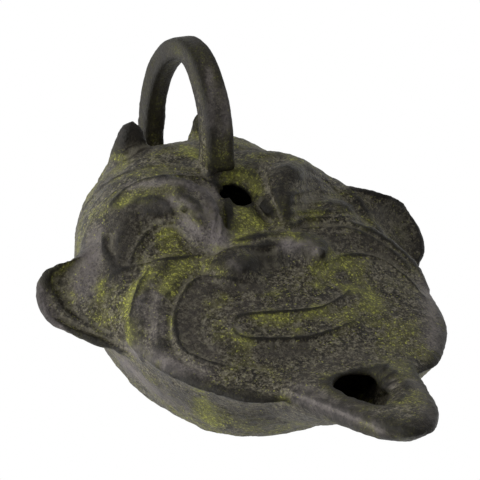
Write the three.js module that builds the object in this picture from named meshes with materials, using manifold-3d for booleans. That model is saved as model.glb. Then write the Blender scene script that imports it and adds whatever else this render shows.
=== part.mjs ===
// A hollow cast bronze oil lamp shaped as a comic mask lying face up, in millimetres.
// The nozzle points towards -Y, the forehead is at +Y, and the flat underside rests on Z = 0.
import * as THREE from "three";
import { mergeVertices } from "three/addons/utils/BufferGeometryUtils.js";
import Module from "manifold-3d";

const wasm = await Module();
wasm.setup();

// Walls of the casting.
const SIDE_WALL = 2.8;
const ROOF_WALL = 3.0;
const FLOOR_WALL = 3.2;

// The bowl seen from above: the right half of its outline, from the nozzle end round to the back.
const OUTLINE = [
  [0, -51], [12, -50.5], [22.4, -47.7], [29.4, -40], [33.6, -28], [36.4, -16], [37.4, -4],
  [36.5, 8], [33, 19], [28, 30], [21.2, 41], [11.8, 49], [0, 52],
];
const CENTRE_Y = 2;
const FLAT_SHARE = 0.4;

// Heights along the length, each as [y, value].
const RIM_HEIGHT = [[-50, 20.5], [-36, 22.3], [-21, 24.5], [0, 27.5], [25, 31], [52, 34]];
const CREST_HEIGHT = [
  [-50, 24.3], [-43, 25.8], [-36, 28.2], [-30, 30.6], [-20, 34], [-12, 37.6], [-4, 42],
  [5, 47], [14, 51], [26, 54.6], [36, 54.8], [45, 51.6], [52, 45],
];
const TOP_FLATNESS = [[-50, 3], [-20, 3.2], [0, 3.3], [15, 2.8], [30, 2.4], [52, 2.3]];
const TOP_FULLNESS = [[-50, 0.42], [0, 0.45], [15, 0.5], [30, 0.52], [52, 0.5]];
const BELLY_POWER = 0.84;
const BELLY_POWER_FRONT = 0.8;

// Carving of the face, mirrored left and right: rounded lines and swellings that raise or sink it.
const LINES = [
  // forehead filled up to the brow
  { line: [[11, 8], [15, 11.5], [19, 15.5], [23, 18.5], [27, 19], [30.5, 16], [33, 12]],
    width: [5.5, 6, 5.5, 5], height: [1, 1.8, 1.4, 0.8, 0.4] },
  // brow arch
  { line: [[20.5, 12.2], [24, 13.6], [27.5, 12.8], [31, 10.2], [34, 6.2], [36, 1.5]],
    width: [4.6, 4.2, 3.8, 3.4, 3], height: [1.6, 1.8, 1.8, 2.2, 2.2] },
  // groove under the nose
  { line: [[0, -19], [7, -19.5], [13, -19]], width: [2.2, 2.2, 2], height: [-1.2, -1.2, -0.4] },
  // cheek fold
  { line: [[15, -7.5], [20, -8.2], [26, -9.2], [31, -13], [34, -19]],
    width: [2.4, 3.2, 3.4, 3.2, 2.6], height: [0.8, 1.6, 1.6, 1.4, 0.6] },
  // cheek crease
  { line: [[28, -4.5], [31.5, -9], [35, -13.5]], width: [1.3], height: [0, -1, -0.8] },
  // oval groove round the muzzle
  { line: [[11, -16], [15, -14.4], [19, -14.2], [23.5, -15.4], [27, -18], [29.2, -22], [30, -26.5],
      [29, -31], [26.4, -35], [22, -38.2], [15, -40.2], [8, -41]],
    width: [1.3], height: [-0.3, -1, -1.2, -1.1, -1.1, -0.9, -0.6, -0.2] },
  // mouth: upper line, lower line and the band between them
  { line: [[0, -28.2], [8, -27.8], [15, -25.6], [19.5, -22.8]],
    width: [1.2], height: [-1.6, -1.6, -1.4, -0.3] },
  { line: [[0, -34], [8, -33.6], [15, -32], [21, -29.2]],
    width: [1.3], height: [-1.3, -1.3, -1.1, -0.3] },
  { line: [[0, -31], [8, -30.6], [14.5, -28.8]], width: [2.2], height: [0.9, 0.9, 0.3] },
];
const SWELLINGS = [
  // inner end of the brow
  { at: [13, 6.4], radii: [7.2, 4.4], height: 4.6, turn: 14, power: 2.6 },
  { at: [9.6, 1.8], radii: [3.6, 5.6], height: 2.4, turn: 0, power: 3 },
  // eye socket, its outer hollow and its inner corner
  { at: [23, 6], radii: [6.5, 4], height: -2.8, turn: -8, power: 2 },
  { at: [29.5, 3.5], radii: [3.4, 5.5], height: -2.6, turn: 20, power: 2 },
  { at: [14.5, -4.5], radii: [4, 3], height: -1.6, turn: 0, power: 2 },
  // eyeball
  { at: [21, -2], radii: [6.8, 3], height: 2.2, turn: 4, power: 3 },
  // bridge of the nose, the hollow beside it, the nostril and the notch between the nostrils
  { at: [0, -8], radii: [5, 5.5], height: 2.4, turn: 0, power: 2 },
  { at: [4.8, -0.5], radii: [1.6, 4], height: -3, turn: 0, power: 2 },
  { at: [9.6, -12.6], radii: [4.8, 4.4], height: 4.6, turn: 0, power: 3 },
  { at: [0, -15], radii: [4, 3], height: -1.4, turn: 0, power: 2 },
  // muzzle
  { at: [0, -26], radii: [22, 11], height: 0.8, turn: 0, power: 2 },
];

// Loop handle: its middle line in the plane x = 0 as [y, z], and its half width and half depth.
const LOOP_LINE = [
  [13.4, 44], [13.2, 52], [13.3, 60], [14.9, 66], [17.8, 70.8], [21.3, 74], [25.8, 75.2],
  [30.9, 74], [35.8, 71.2], [40.2, 66.9], [43.4, 61.2], [45.6, 54.6], [46.6, 47], [46.8, 41],
];
const LOOP_HALF = [
  [3.7, 3.8], [3.4, 3.2], [3.3, 3.1], [3.2, 3], [3, 2.9], [2.8, 2.6], [2.7, 2.5], [2.6, 2.5],
  [2.5, 2.5], [2.5, 2.5], [2.6, 2.6], [3, 3.2],
];
const LOOP_SQUARENESS = 3.2;

// Horns: the middle line of the right one and its half sizes from root to tip.
const HORN_LINE = [[10.2, 38, 42], [10.1, 37.8, 47], [9.9, 37.4, 51], [9.7, 37.1, 54], [9.6, 37, 56.8]];
const HORN_HALF = [
  [6.4, 5.9], [5.8, 5.3], [5.2, 4.7], [4.7, 4.2], [4.3, 3.8], [3.9, 3.4], [3.5, 3], [3.1, 2.7],
  [2.7, 2.3], [2, 1.7], [0.05, 0.05],
];
const HORN_SQUARENESS = 2.2;

// Ears: the line along the head and the outer rim of the right one, from top to bottom.
const EAR_ROOT = [[31, 9, 40.5], [32, 7, 37.5], [32, 3, 32], [32.5, -4, 26], [33, -11, 21.5]];
const EAR_RIM = [
  [33, 9.5, 41.2], [36.5, 7.5, 40.6], [40.3, 5.4, 39.8], [44.4, 6, 37.6], [47.3, 6.9, 34.3],
  [48.7, 5.3, 31], [48.7, 2.9, 28.3], [47.4, 0.4, 26.2], [44.8, -2.2, 24.8], [41, -6, 23.2],
  [36.5, -11, 21.6],
];
const EAR_BACK = new THREE.Vector3(-0.2, 0.75, -0.63);
const EAR_RIM_RADIUS = 1.35;
const EAR_SHEET = 2.6;
const EAR_CUP = 1.6;
const EAR_FILL = 4.5;

// Nozzle: half width along the length, heights of its top, side edge and underside, as [y, value].
const NOZZLE_HALF = [
  [-79.5, 0], [-78.8, 2.4], [-77.2, 4.4], [-75.3, 6], [-71.2, 8.3], [-66.5, 10.2], [-61, 12],
  [-55.2, 13.6], [-48, 16], [-40, 17.5], [-30, 18],
];
const NOZZLE_UNDER = [[-79.5, 19.6], [-74, 17.6], [-64, 16.4], [-56, 15], [-48, 12], [-30, 4]];
const NOZZLE_TOP = 23.8;
const NOZZLE_EDGE = 21.4;
const NOZZLE_TOP_SQUARENESS = 4;
const NOZZLE_UNDER_SQUARENESS = 1.9;
const NOZZLE_ROOT = -30;
const NOZZLE_TIP = -79.5;

// Filling hole in the forehead and wick hole in the nozzle.
const FILL_CENTRE = [1.6, 6.6];
const FILL_RADII = [[36, 3.6], [44, 3.6], [47.6, 4.7], [51, 5.2]];
const FILL_STRETCH = 1.08;
const WICK_CENTRE = [0, -54.2];
const WICK_RADII = [[17, 5.9], [22, 6.1], [23.6, 6.9], [40, 7.4]];
const WICK_STRETCH = 1.14;
const CHANNEL_LINE = [[0, -34, 15.5], [0, -46, 17], [0, -59.5, 19.3]];
const CHANNEL_HALF = [[11, 6.5], [8.4, 4.4], [6, 2.6]];

// A smooth value between stations given as [place, value].
function eased(stations) {
  const last = stations.length - 1;
  const slope = stations.map((_, i) => {
    const a = stations[Math.max(i - 1, 0)];
    const b = stations[Math.min(i + 1, last)];
    return (b[1] - a[1]) / (b[0] - a[0]);
  });
  return (place) => {
    const p = Math.min(Math.max(place, stations[0][0]), stations[last][0]);
    let i = 0;
    while (i < last - 1 && p > stations[i + 1][0]) i += 1;
    const h = stations[i + 1][0] - stations[i][0];
    const t = (p - stations[i][0]) / h;
    const cubic = t * t * t;
    const square = t * t;
    return (2 * cubic - 3 * square + 1) * stations[i][1] + (cubic - 2 * square + t) * h * slope[i] +
      (3 * square - 2 * cubic) * stations[i + 1][1] + (cubic - square) * h * slope[i + 1];
  };
}

// A value read from an evenly spread list, straight between its entries.
function spread(list, share) {
  if (list.length < 2) return list[0];
  const place = Math.min(Math.max(share, 0), 1) * (list.length - 1);
  const i = Math.min(Math.floor(place), list.length - 2);
  return list[i] + (list[i + 1] - list[i]) * (place - i);
}

// A smooth line through points, as evenly spaced vectors.
function roundLine(points, count, closed = false) {
  const vectors = points.map(([x, y, z = 0]) => new THREE.Vector3(x, y, z));
  const curve = new THREE.CatmullRomCurve3(vectors, closed, "catmullrom", 0.5);
  curve.arcLengthDivisions = 800;
  return curve.getSpacedPoints(count - 1);
}

function smooth(value) {
  const t = Math.min(Math.max(value, 0), 1);
  return t * t * (3 - 2 * t);
}

const rimHeight = eased(RIM_HEIGHT);
const crestHeight = eased(CREST_HEIGHT);
const topFlatness = eased(TOP_FLATNESS);
const topFullness = eased(TOP_FULLNESS);

// Distance from the bowl's centre to its outline, for any direction.
const mirrored = OUTLINE.slice(1, -1).reverse().map(([x, y]) => [-x, y]);
const outlinePoints = roundLine([...OUTLINE, ...mirrored], 721, true).map((p) => {
  const turn = Math.atan2(p.y - CENTRE_Y, p.x) + Math.PI / 2;
  return [(turn + 4 * Math.PI) % (2 * Math.PI), Math.hypot(p.x, p.y - CENTRE_Y)];
});
outlinePoints.sort((a, b) => a[0] - b[0]);

function reach(angle) {
  const turn = (angle + Math.PI / 2 + 4 * Math.PI) % (2 * Math.PI);
  let i = outlinePoints.findIndex((p) => p[0] > turn);
  if (i < 0) i = outlinePoints.length;
  const after = outlinePoints[i % outlinePoints.length];
  const before = outlinePoints[(i + outlinePoints.length - 1) % outlinePoints.length];
  const gap = (after[0] - before[0] + 2 * Math.PI) % (2 * Math.PI);
  const part = gap > 0 ? ((turn - before[0] + 2 * Math.PI) % (2 * Math.PI)) / gap : 0;
  return before[1] + (after[1] - before[1]) * part;
}

for (const item of LINES) item.points = roundLine(item.line, 40);

// How far a point of the face is raised or sunk.
function relief(x, y) {
  const across = Math.abs(x);
  let height = 0;
  for (const { points, width, height: heights } of LINES) {
    let nearest = Infinity;
    let share = 0;
    for (let i = 0; i < points.length - 1; i += 1) {
      const a = points[i];
      const dx = points[i + 1].x - a.x;
      const dy = points[i + 1].y - a.y;
      const along = ((across - a.x) * dx + (y - a.y) * dy) / (dx * dx + dy * dy);
      const t = Math.min(Math.max(along, 0), 1);
      const distance = Math.hypot(across - a.x - t * dx, y - a.y - t * dy);
      if (distance < nearest) {
        nearest = distance;
        share = (i + t) / (points.length - 1);
      }
    }
    height += spread(heights, share) * Math.exp(-((nearest / spread(width, share)) ** 2));
  }
  for (const { at, radii, height: rise, turn, power } of SWELLINGS) {
    const angle = THREE.MathUtils.degToRad(turn);
    const dx = across - at[0];
    const dy = y - at[1];
    const u = (dx * Math.cos(angle) + dy * Math.sin(angle)) / radii[0];
    const v = (dy * Math.cos(angle) - dx * Math.sin(angle)) / radii[1];
    height += rise * Math.exp(-((u * u + v * v) ** (power / 2)));
  }
  return height;
}

// A closed surface from rings of equal count, its two ends closed by a point.
function closedRings(rings, firstPoint, lastPoint) {
  const count = rings[0].length;
  const vertices = [firstPoint, ...rings.flat(), lastPoint];
  const faces = [];
  for (let j = 0; j < count; j += 1) {
    const next = (j + 1) % count;
    faces.push(0, 1 + next, 1 + j);
    for (let i = 0; i < rings.length - 1; i += 1) {
      const a = 1 + i * count;
      const b = a + count;
      faces.push(a + j, a + next, b + next);
      faces.push(a + j, b + next, b + j);
    }
    const lastRing = 1 + (rings.length - 1) * count;
    faces.push(lastRing + j, lastRing + next, vertices.length - 1);
  }
  return solid(vertices, faces);
}

// A solid from points and triangles, turned so that its faces point out.
function solid(vertices, faces) {
  const geometry = new THREE.BufferGeometry();
  const places = vertices.flatMap((p) => p.toArray());
  geometry.setAttribute("position", new THREE.Float32BufferAttribute(places, 3));
  geometry.setIndex(faces);
  const merged = mergeVertices(geometry, 1e-4);
  const points = merged.attributes.position;
  let volume = 0;
  const [a, b, c] = [new THREE.Vector3(), new THREE.Vector3(), new THREE.Vector3()];
  const order = Array.from(merged.index.array);
  for (let i = 0; i < order.length; i += 3) {
    a.fromBufferAttribute(points, order[i]);
    b.fromBufferAttribute(points, order[i + 1]);
    c.fromBufferAttribute(points, order[i + 2]);
    volume += a.dot(b.cross(c));
  }
  if (volume < 0) order.reverse();
  return new wasm.Manifold(
    new wasm.Mesh({ numProp: 3, vertProperties: points.array, triVerts: new Uint32Array(order) }),
  );
}

// Shares of the way out from the centre at which the surface has a ring of points.
const UNDER_SHARES = [0.2, FLAT_SHARE, 0.5, 0.62, 0.74, 0.84, 0.92, 0.97];
const TOP_SHARES = [
  1, 0.985, 0.955, 0.915, 0.875, 0.835, 0.795, 0.755, 0.715, 0.675, 0.635, 0.595, 0.555, 0.515,
  0.475, 0.435, 0.395, 0.355, 0.315, 0.275, 0.235, 0.195, 0.155, 0.115, 0.06,
];
const HOLLOW_UNDER_SHARES = [0.3, 0.5, 0.7, 0.85, 0.95];
const HOLLOW_TOP_SHARES = [1, 0.96, 0.86, 0.72, 0.56, 0.4, 0.24, 0.1];

// The bowl with the face on it, or the hollow inside it when walls are given.
function bowl(sides, side, roof, floor, under, top) {
  const point = (angle, share, onTop) => {
    const radius = reach(angle) - side;
    const edgeY = CENTRE_Y + radius * Math.sin(angle);
    const x = radius * Math.cos(angle) * share;
    const y = CENTRE_Y + radius * Math.sin(angle) * share;
    const rim = rimHeight(edgeY);
    if (!onTop) {
      const t = Math.min(Math.max((share - FLAT_SHARE) / (1 - FLAT_SHARE), 0), 1);
      const forward = Math.min(Math.max((CENTRE_Y - edgeY) / 50, 0), 1);
      const power = BELLY_POWER + BELLY_POWER_FRONT * forward;
      return new THREE.Vector3(x, y, floor + (rim - floor) * (1 - (1 - t * t) ** power));
    }
    const carved = relief(x, y);
    const depth = roof > 0 ? Math.min(carved, 0) : carved;
    const base = rim * share ** 4 + rimHeight(y) * (1 - share ** 4);
    const arch = Math.max(1 - share ** topFlatness(y), 0) ** topFullness(y);
    const fade = smooth((1 - Math.asin(Math.min(share, 1)) * (2 / Math.PI)) * 6);
    const crown = (crestHeight(y) - roof - rimHeight(y)) * arch;
    return new THREE.Vector3(x, y, base + crown + depth * fade);
  };
  const rings = [];
  const turn = (k) => (2 * Math.PI * k) / sides;
  const ring = (share, onTop) => Array.from({ length: sides }, (_, k) => point(turn(k), share, onTop));
  for (const share of under) rings.push(ring(share, false));
  for (const share of top) rings.push(ring(share, true));
  return closedRings(rings, point(0, 0, false), point(0, 0, true));
}

// A bar of rounded-square section along a line, its halves given evenly along it.
function bar(line, halves, squareness, sides, count) {
  const points = roundLine(line, count);
  const rings = points.map((p, i) => {
    const ahead = points[Math.min(i + 1, count - 1)];
    const behind = points[Math.max(i - 1, 0)];
    const along = ahead.clone().sub(behind).normalize();
    const wide = new THREE.Vector3(1, 0, 0);
    wide.addScaledVector(along, -wide.dot(along)).normalize();
    const deep = along.clone().cross(wide);
    const halfWide = spread(halves.map((h) => h[0]), i / (count - 1));
    const halfDeep = spread(halves.map((h) => h[1]), i / (count - 1));
    return Array.from({ length: sides }, (_, k) => {
      const angle = (2 * Math.PI * k) / sides;
      const c = Math.cos(angle);
      const s = Math.sin(angle);
      const grow = (Math.abs(c) ** squareness + Math.abs(s) ** squareness) ** (-1 / squareness);
      const out = p.clone().addScaledVector(wide, halfWide * grow * c);
      return out.addScaledVector(deep, halfDeep * grow * s);
    });
  });
  return closedRings(rings, points[0], points[count - 1]);
}

// A hole straight down, with its radius given as [z, radius].
function well(centre, radii, stretch, sides) {
  const rings = radii.map(([z, radius]) =>
    Array.from({ length: sides }, (_, k) => {
      const angle = (2 * Math.PI * k) / sides;
      const x = centre[0] + radius * Math.cos(angle);
      return new THREE.Vector3(x, centre[1] + radius * stretch * Math.sin(angle), z);
    }),
  );
  const bottom = new THREE.Vector3(centre[0], centre[1], radii[0][0]);
  const top = new THREE.Vector3(centre[0], centre[1], radii[radii.length - 1][0]);
  return closedRings(rings, bottom, top);
}

function nozzle(sides) {
  const half = eased(NOZZLE_HALF);
  const under = eased(NOZZLE_UNDER);
  const straight = Array.from({ length: 9 }, (_, i) => NOZZLE_ROOT - i * 5.1);
  const quarter = (i) => ((i + 0.6) / 4.7) * (Math.PI / 2);
  const rounded = Array.from({ length: 5 }, (_, i) => -72 - 7.4 * Math.sin(quarter(i)));
  const rings = [...straight, ...rounded].map((y) => {
    const tip = Math.min(Math.max((-y - 70) / 9.5, 0), 1);
    const width = Math.max(half(y), 0.3);
    const top = (NOZZLE_TOP - NOZZLE_EDGE) * (1 - 0.8 * tip ** 4);
    const low = (NOZZLE_EDGE - under(y)) * (1 - tip ** 3);
    return Array.from({ length: sides }, (_, k) => {
      const angle = (2 * Math.PI * k) / sides;
      const c = Math.cos(angle);
      const s = Math.sin(angle);
      const squareness = s > 0 ? NOZZLE_TOP_SQUARENESS : NOZZLE_UNDER_SQUARENESS;
      const grow = (Math.abs(c) ** squareness + Math.abs(s) ** squareness) ** (-1 / squareness);
      return new THREE.Vector3(width * grow * c, y, NOZZLE_EDGE + (s > 0 ? top : low) * grow * s);
    });
  });
  const root = new THREE.Vector3(0, NOZZLE_ROOT, NOZZLE_EDGE);
  const tip = new THREE.Vector3(0, NOZZLE_TIP, NOZZLE_EDGE);
  return closedRings(rings, root, tip);
}

// A cupped leaf standing out from the side of the head, with a thick round rim.
function ear(side, along, across) {
  const root = roundLine(EAR_ROOT, along);
  const rim = roundLine(EAR_RIM, along);
  const rings = root.map((start, i) => {
    const bend = Math.sin((Math.PI * i) / (along - 1)) ** 0.6;
    const outward = rim[i].clone().sub(start);
    const width = outward.length() - EAR_RIM_RADIUS;
    outward.normalize();
    const place = (share, behind) => {
      const sag = EAR_CUP * bend * Math.sin(Math.PI * share ** 1.6);
      const half = EAR_SHEET / 2 + (EAR_RIM_RADIUS - EAR_SHEET / 2) * share;
      const filled = half + EAR_FILL * bend * (1 - share) ** 2;
      const back = behind ? sag + half : sag - filled;
      return start.clone().addScaledVector(outward, width * share).addScaledVector(EAR_BACK, back);
    };
    const edge = [0.25, 0.5, 0.75].map((part) => {
      const turn = Math.PI * part;
      const out = width + EAR_RIM_RADIUS * Math.sin(turn);
      const p = start.clone().addScaledVector(outward, out);
      return p.addScaledVector(EAR_BACK, -EAR_RIM_RADIUS * Math.cos(turn));
    });
    const shares = Array.from({ length: across }, (_, j) => j / (across - 1));
    const front = shares.map((share) => place(share, false));
    const rear = shares.reverse().map((share) => place(share, true));
    const ring = [...front, ...edge, ...rear];
    return ring.map((p) => new THREE.Vector3(p.x * side, p.y, p.z));
  });
  const total = (ring) => ring.reduce((sum, p) => sum.add(p), new THREE.Vector3());
  const middle = (ring) => total(ring).divideScalar(ring.length);
  return closedRings(rings, middle(rings[0]), middle(rings[along - 1]));
}

const mirrorX = (line) => line.map(([x, y, z]) => [-x, y, z]);
const loopLine = LOOP_LINE.map(([y, z]) => [0, y, z]);

const outside = [
  bowl(80, 0, 0, 0, UNDER_SHARES, TOP_SHARES),
  nozzle(16),
  bar(loopLine, LOOP_HALF, LOOP_SQUARENESS, 12, 26),
  bar(HORN_LINE, HORN_HALF, HORN_SQUARENESS, 10, 11),
  bar(mirrorX(HORN_LINE), HORN_HALF, HORN_SQUARENESS, 10, 11),
  ear(1, 15, 6),
  ear(-1, 15, 6),
];
const hollow = [
  bowl(36, SIDE_WALL, ROOF_WALL, FLOOR_WALL, HOLLOW_UNDER_SHARES, HOLLOW_TOP_SHARES),
  bar(CHANNEL_LINE, CHANNEL_HALF, 2.4, 12, 5),
  well(WICK_CENTRE, WICK_RADII, WICK_STRETCH, 20),
  well(FILL_CENTRE, FILL_RADII, FILL_STRETCH, 20),
];
let lampSolid = outside[0];
for (const piece of outside.slice(1)) lampSolid = lampSolid.add(piece);
for (const piece of hollow) lampSolid = lampSolid.subtract(piece);

const made = lampSolid.getMesh();
const geometry = new THREE.BufferGeometry();
geometry.setAttribute("position", new THREE.BufferAttribute(made.vertProperties, made.numProp));
geometry.setIndex(new THREE.BufferAttribute(made.triVerts, 1));
geometry.computeVertexNormals();

const bronze = new THREE.MeshStandardMaterial({ color: 0x47433a, roughness: 0.6, metalness: 0.75 });
const lamp = new THREE.Mesh(geometry, bronze);
lamp.name = "lamp";

const group = new THREE.Group();
group.add(lamp);

export default group;
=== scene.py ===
# A hollow cast bronze oil lamp shaped as a comic mask lying face up. The fine casting stands for its
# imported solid. Lengths are in millimetres here and in metres in the scene. The nozzle points to -Y.
import math

import bpy
import numpy as np
import openvdb
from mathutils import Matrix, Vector
from mathutils.bvhtree import BVHTree


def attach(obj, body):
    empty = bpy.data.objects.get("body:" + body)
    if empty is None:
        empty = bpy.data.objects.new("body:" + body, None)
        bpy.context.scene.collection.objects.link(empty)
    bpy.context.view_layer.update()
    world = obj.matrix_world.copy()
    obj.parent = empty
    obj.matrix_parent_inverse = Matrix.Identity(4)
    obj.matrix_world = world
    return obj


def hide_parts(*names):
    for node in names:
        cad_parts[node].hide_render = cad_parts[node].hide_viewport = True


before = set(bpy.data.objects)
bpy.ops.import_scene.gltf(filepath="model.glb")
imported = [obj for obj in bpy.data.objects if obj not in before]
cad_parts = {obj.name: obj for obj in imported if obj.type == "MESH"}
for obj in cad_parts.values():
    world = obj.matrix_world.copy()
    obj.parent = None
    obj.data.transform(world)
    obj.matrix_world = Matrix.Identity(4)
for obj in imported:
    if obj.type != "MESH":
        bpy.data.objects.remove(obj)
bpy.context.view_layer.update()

METRES = 0.001
VOXEL = 0.45
BAND = 8
LOW_CORNER = np.array([-52.0, -83.0, -5.0])
HIGH_CORNER = np.array([52.0, 56.0, 81.0])
TRIANGLES = 190000

# Walls of the casting.
SIDE_WALL = 2.8
ROOF_WALL = 3.0
FLOOR_WALL = 3.2

# The bowl seen from above: the right half of its outline, from the nozzle end round to the back.
OUTLINE = [
    (0, -51), (12, -50.5), (22.2, -47.8), (29, -40.6), (33, -34), (35.2, -27), (36.8, -16), (37.4, -4),
    (36.5, 8), (33, 19), (28, 30), (21.2, 41), (11.8, 49), (0, 52),
]
CENTRE_Y = 2
FLAT_SHARE = 0.4

# Heights along the length, each as (y, value).
RIM_HEIGHT = [(-50, 20.5), (-36, 22.3), (-21, 24.5), (0, 27.5), (25, 31), (52, 34)]
CREST_HEIGHT = [
    (-50, 24.3), (-43, 25.8), (-36, 28.2), (-30, 30.6), (-20, 34), (-12, 37.6), (-4, 42),
    (5, 47), (14, 51), (26, 54.6), (36, 54.8), (45, 51.6), (52, 45),
]
TOP_FLATNESS = [(-50, 3), (-20, 3.2), (0, 3.3), (15, 2.8), (30, 2.4), (52, 2.3)]
TOP_FULLNESS = [(-50, 0.42), (0, 0.45), (15, 0.5), (30, 0.52), (52, 0.5)]
BELLY_POWER = 0.84
BELLY_POWER_FRONT = 0.8
BELLY_FRONT_LENGTH = 50
# The belly is fuller towards its right front corner.
BELLY_CORNER = 0.7
CORNER_TURN = math.radians(36)
CORNER_SPREAD = math.radians(18)
# How steeply the heights of the edge give way to the top's, and how narrow the plain border of the face is.
EDGE_POWER = 4
BORDER_FADE = 6

# Carving of the face, mirrored left and right: rounded lines and swellings that raise or sink it.
# A line has its points, its half widths and its heights, and a swelling its place, its radii, its
# height, its turn in degrees and how flat-topped it is.
LINES = [
    # forehead filled up to the brow
    ([(11, 8), (15, 11.5), (19, 15.5), (23, 18.5), (27, 19), (30.5, 16), (33, 12)], [6, 6.5, 6, 5],
     [2.4, 2.8, 2, 1.2, 0.6]),
    # crown, higher beside its middle line
    ([(8, 24), (9, 32), (9, 38)], [5, 5], [0.5, 0.9, 0.9]),
]
# Lines on the right side alone: the crown is fuller there, and the forehead falls away behind that brow.
RIGHT_LINES = [
    ([(10, 30), (16, 30), (21, 28)], [4, 4, 3], [0.8, 1.5, 0.8]),
    ([(19, 20), (25, 22.5), (30, 20), (34.5, 13.5)], [3.6, 4.2, 4, 3], [-1.4, -2.6, -2.2, -0.8]),
]
SWELLINGS = [
    # eye socket and its outer hollow
    ((19, 1), (9, 5), -1.2, 0, 2),
    ((29.5, 3), (3.4, 6), -1.8, 20, 2),
    # beside the nose
    ((14, -7), (6, 4), -1.4, 0, 2),
    # hollow beside the bridge of the nose
    ((5.6, 0.4), (1.6, 3), -2.4, 0, 2),
    # hollow under the nose
    ((0, -13), (4, 2.6), -1, 0, 2),
    # muzzle
    ((0, -26), (22, 11), 0.8, 0, 2),
]

# Solid masses of the face, the right one of each pair: a line and its half heights and half widths,
# or one number where both are alike.
# The brows differ: the left one is broad at its inner end, and the right one is drawn out to a ridge
# there and lies a little lower. Both run down the temple into the ear.
LEFT_BROW = [
    (10, -4.5, 38), (10.4, -3, 41.5), (11, 0, 45.8), (12.8, 3.8, 48.4), (16, 7.2, 48.6),
    (19.2, 10.2, 47.6), (22.4, 12.8, 45.6), (25.6, 13.8, 43), (29, 12.4, 40.6), (32, 9.2, 38.6),
    (34.8, 6, 37.2), (36.8, 2, 34.4), (37.2, -2, 28),
]
LEFT_BROW_HALF = [3, 4, 4.8, 5, (4.9, 4.8), 4.4, 4.2, 4, 3.8, 3.7, 3.6, 3.4, 2.4]
RIGHT_BROW = [
    (8.6, -3.9, 38.5), (8.7, -2.2, 42), (10, 0.8, 45.2), (12.8, 4.2, 46.7), (16.2, 8.2, 45.5),
    (19.6, 11.8, 44.4), (23, 14.2, 42.6), (26.2, 14.6, 40.4), (29.6, 13, 38.4), (32.4, 10, 36.2),
    (34.2, 7.4, 33.8),
]
RIGHT_BROW_HALF = [1.4, 2.3, 3.8, 5, 4.8, 4.5, 4.5, 4.3, 4, 3.8, 3.3]
CHEEK_LINE = [
    (9.5, -5.5, 36.5), (14, -5.8, 37.2), (20, -5.6, 37.2), (25, -8.4, 35.6), (29.5, -12, 32.4),
    (33, -16.5, 28.2), (34, -21, 25),
]
CHEEK_HALF = [1, (2.4, 3), (3.2, 4), (3.4, 4.2), (3.4, 4), (3, 3.4), (1.6, 2)]
NOSE_LINE = [(-10.5, -9.6, 38), (-5, -7.6, 38.6), (0, -7, 38.9), (5, -7.6, 38.6), (10.5, -9.6, 38)]
NOSE_HALF = [2, (2.8, 3), (2.9, 3.2), (2.8, 3), 2]
# A ball's centre, its three radii and its turn about the vertical in degrees.
EYE = ((20.4, 0.4, 38.4), (8.4, 4.6, 4.6), -4)
NOSTRIL = ((8.9, -11.4, 36.6), (6.2, 6.4, 4.3), 0)

# How much higher the face is on its right than on its left, per millimetre.
FACE_ROLL = 0.035

# Loop handle: its middle line in the plane x = 0 as (y, z), and its half widths and half
# depths.
LOOP_LINE = [
    (13.4, 44), (13.2, 52), (13.4, 60), (15.2, 66.2), (18.4, 71), (22.2, 74.4), (27, 75.6),
    (32, 74.3), (36.8, 71.4), (41.1, 67), (44.3, 61.2), (46.4, 54.6), (47.4, 47), (47.6, 41),
]
LOOP_HALF = [
    (3.7, 3.8), (3.4, 3.2), (3.3, 3.1), (3.2, 3), (3, 2.9), (2.8, 2.6), (2.7, 2.5), (2.6, 2.5),
    2.5, 2.5, 2.6, (3, 3.2),
]
LOOP_SQUARENESS = 7

# The exponent of a section that is an oval.
OVAL = 2

# Horns: the middle line of the right one and its half sizes from root to tip.
HORN_LINE = [(10.2, 38, 42), (10.1, 37.8, 47), (9.9, 37.4, 51), (9.7, 37.1, 54), (9.6, 37, 56.8)]
HORN_HALF = [
    (6.4, 5.9), (5.8, 5.3), (5.2, 4.7), (4.7, 4.2), (4.3, 3.8), (3.9, 3.4), (3.5, 3), (3.1, 2.7),
    (2.7, 2.3), (2, 1.7), (0.05, 0.05),
]
HORN_SQUARENESS = 3.6

# Ears: the line along the head and the outer rim of the right one, from top to bottom.
EAR_ROOT = [(31, 9, 40.5), (32, 7, 37.5), (32, 3, 32), (32.5, -4, 26), (33, -11, 21.5)]
EAR_RIM = [
    (33, 9.5, 41.2), (36.5, 7.5, 40.6), (40.3, 5.4, 39.8), (44.4, 6, 37.6), (47.3, 6.9, 34.3),
    (48.7, 5.3, 31), (48.7, 2.9, 28.3), (47.4, 0.4, 26.2), (44.8, -2.2, 24.8), (41, -6, 23.2),
    (36.5, -11, 21.6),
]
# How much higher the upper rim of the right ear stands, and of the left one.
EAR_LIFT = {1: 0.8, -1: -2.2}
EAR_LIFT_END = 0.4
EAR_BACK = np.array([-0.2, 0.75, -0.63])
EAR_RIM_RADIUS = 1.35
EAR_SHEET = 2.6
EAR_CUP = 1.6
EAR_FILL = 4.5
# How quickly the ear's cup begins and ends along it, and how far out it is deepest.
EAR_CUP_POWER = 0.6
EAR_SAG_POWER = 1.6

# Nozzle: half width along the length, heights of its top, side edge and underside, as (y, value).
NOZZLE_HALF = [
    (-79.5, 0), (-78.8, 2.4), (-77.2, 4.4), (-75.3, 6), (-71.2, 8.3), (-66.5, 10.2), (-61, 12),
    (-55.2, 13.6), (-48, 16), (-40, 17.5), (-30, 18),
]
NOZZLE_UNDER = [(-79.5, 19.6), (-74, 17.6), (-64, 16.4), (-56, 15), (-48, 12), (-30, 4)]
NOZZLE_TOP = 23.8
NOZZLE_EDGE = 21.4
NOZZLE_TOP_SQUARENESS = 4
NOZZLE_UNDER_SQUARENESS = 1.9
NOZZLE_ROOT = -30
NOZZLE_TIP = -79.5
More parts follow.
